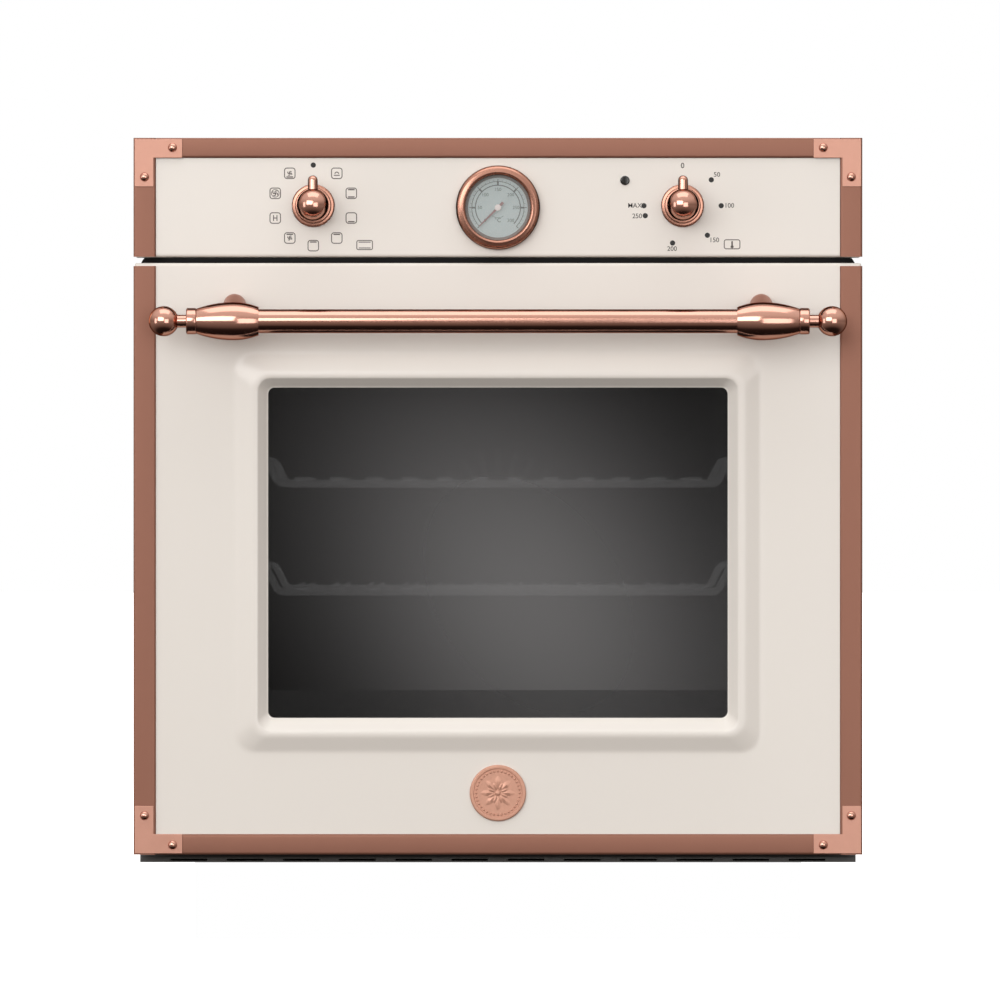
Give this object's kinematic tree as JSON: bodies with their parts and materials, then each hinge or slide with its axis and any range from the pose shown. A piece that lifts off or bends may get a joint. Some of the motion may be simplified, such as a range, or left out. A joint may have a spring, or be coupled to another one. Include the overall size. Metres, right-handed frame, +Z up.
{
  "type": "wall oven",
  "caption": "Built-in wall oven with an enamelled drop-down window door, bar handle, rotary controls, needle gauge, wire racks and a fan-heated cavity.",
  "frame": {"origin": "middle of the whole footprint, at the foot of the chassis", "axes": "+X to the viewer's right facing the door, +Y into the cabinet, +Z up"},
  "size_m": [0.596, 0.6505, 0.5936],
  "materials": {
    "ivory_enamel": "gloss vitreous enamel",
    "trim_copper": "satin copper finish",
    "bracket_copper": "satin copper plate",
    "polished_copper": "polished copper plate",
    "capillary_copper": "drawn copper",
    "lens_plastic": "moulded lens, unlit",
    "dial_plate": "satin, printed",
    "clear_glass": "float",
    "smoked_glass": "smoked float",
    "needle_paint": "matt",
    "plain_steel": "zinc plated",
    "galvanised_steel": "galvanised sheet",
    "switch_plastic": "moulded",
    "block_plastic": "moulded",
    "black_enamel": "semi-gloss enamel",
    "cavity_enamel": "dark speckled enamel",
    "mineral_wool": "loose fibre",
    "seal_rubber": "silicone",
    "chromed_wire": "polished",
    "element_steel": "heat darkened",
    "aluminium_sheet": "mill",
    "motor_steel": "lacquered",
    "holder_ceramic": "unglazed"
  },
  "bodies": {
    "chassis": {"control_panel": "ivory_enamel", "panel_trim": "trim_copper", "panel_brackets": "bracket_copper", "panel_bracket_screws": "bracket_copper", "indicator_lens": "lens_plastic", "gauge_bezel": "polished_copper", "gauge_dial": "dial_plate", "gauge_glass": "clear_glass", "selector_escutcheon": "polished_copper", "selector_switch": "switch_plastic", "thermostat_escutcheon": "polished_copper", "thermostat_body": "switch_plastic", "thermostat_bulb": "capillary_copper", "hinge_arms": "plain_steel", "front_frame": "black_enamel", "side_panel_right": "galvanised_steel", "side_panel_left": "galvanised_steel", "top_cover": "galvanised_steel", "back_cover": "galvanised_steel", "base_tray": "galvanised_steel", "lower_vent_strip": "black_enamel", "cavity_liner": "cavity_enamel", "insulation": "mineral_wool", "door_seal": "seal_rubber", "rack_guides": "chromed_wire", "grill_element": "element_steel", "bottom_element": "element_steel", "ring_element": "element_steel", "fan_cover": "cavity_enamel", "fan_motor": "motor_steel", "lamp_glass": "clear_glass", "lamp_holder": "holder_ceramic", "blower_housing": "galvanised_steel", "blower_motor": "motor_steel", "terminal_block": "block_plastic", "cable_gland": "block_plastic"},
    "door": {"door_panel": "ivory_enamel", "door_trim": "trim_copper", "door_brackets": "bracket_copper", "door_bracket_screws": "bracket_copper", "outer_glass": "smoked_glass", "inner_glass": "clear_glass", "door_inner_frame": "black_enamel", "handle_bar": "polished_copper", "handle_posts": "polished_copper", "handle_finials": "polished_copper", "medallion": "bracket_copper", "hinge_channels": "plain_steel", "hinge_pins": "plain_steel"},
    "selector": {"selector_knob": "polished_copper", "selector_spindle": "plain_steel"},
    "thermostat": {"thermostat_knob": "polished_copper", "thermostat_spindle": "plain_steel"},
    "needle": {"gauge_needle": "needle_paint"},
    "fan": {"fan_blade": "aluminium_sheet"},
    "impeller": {"blower_impeller": "aluminium_sheet"},
    "upper_rack": {"upper_rack": "chromed_wire"},
    "lower_rack": {"lower_rack": "chromed_wire"},
    "tray": {"baking_tray": "cavity_enamel"}
  },
  "joints": [
    {"name": "door_hinge", "type": "hinge", "parent": "chassis", "child": "door", "pos_m": [0, -0.24877, 0.028], "axis": [1, 0, 0], "range_deg": [0, 90]},
    {"name": "selector_turn", "type": "hinge", "parent": "chassis", "child": "selector", "pos_m": [-0.151, -0.26477, 0.5382], "axis": [0, 1, 0], "continuous": true},
    {"name": "thermostat_turn", "type": "hinge", "parent": "chassis", "child": "thermostat", "pos_m": [0.151, -0.26477, 0.5382], "axis": [0, 1, 0], "range_deg": [0, 270]},
    {"name": "needle_turn", "type": "hinge", "parent": "chassis", "child": "needle", "pos_m": [0, -0.26477, 0.5366], "axis": [0, 1, 0], "range_deg": [0, 270]},
    {"name": "fan_spin", "type": "hinge", "parent": "chassis", "child": "fan", "pos_m": [0, 0.17672, 0.279], "axis": [0, 1, 0], "continuous": true},
    {"name": "impeller_spin", "type": "hinge", "parent": "chassis", "child": "impeller", "pos_m": [0, 0.06523, 0.497], "axis": [1, 0, 0], "continuous": true},
    {"name": "upper_rack_slide", "type": "slide", "parent": "chassis", "child": "upper_rack", "axis": [0, -1, 0], "range_m": [0, 0.02]},
    {"name": "lower_rack_slide", "type": "slide", "parent": "chassis", "child": "lower_rack", "axis": [0, -1, 0], "range_m": [0, 0.02]},
    {"name": "tray_slide", "type": "slide", "parent": "chassis", "child": "tray", "axis": [0, -1, 0], "range_m": [0, 0.02]}
  ]
}
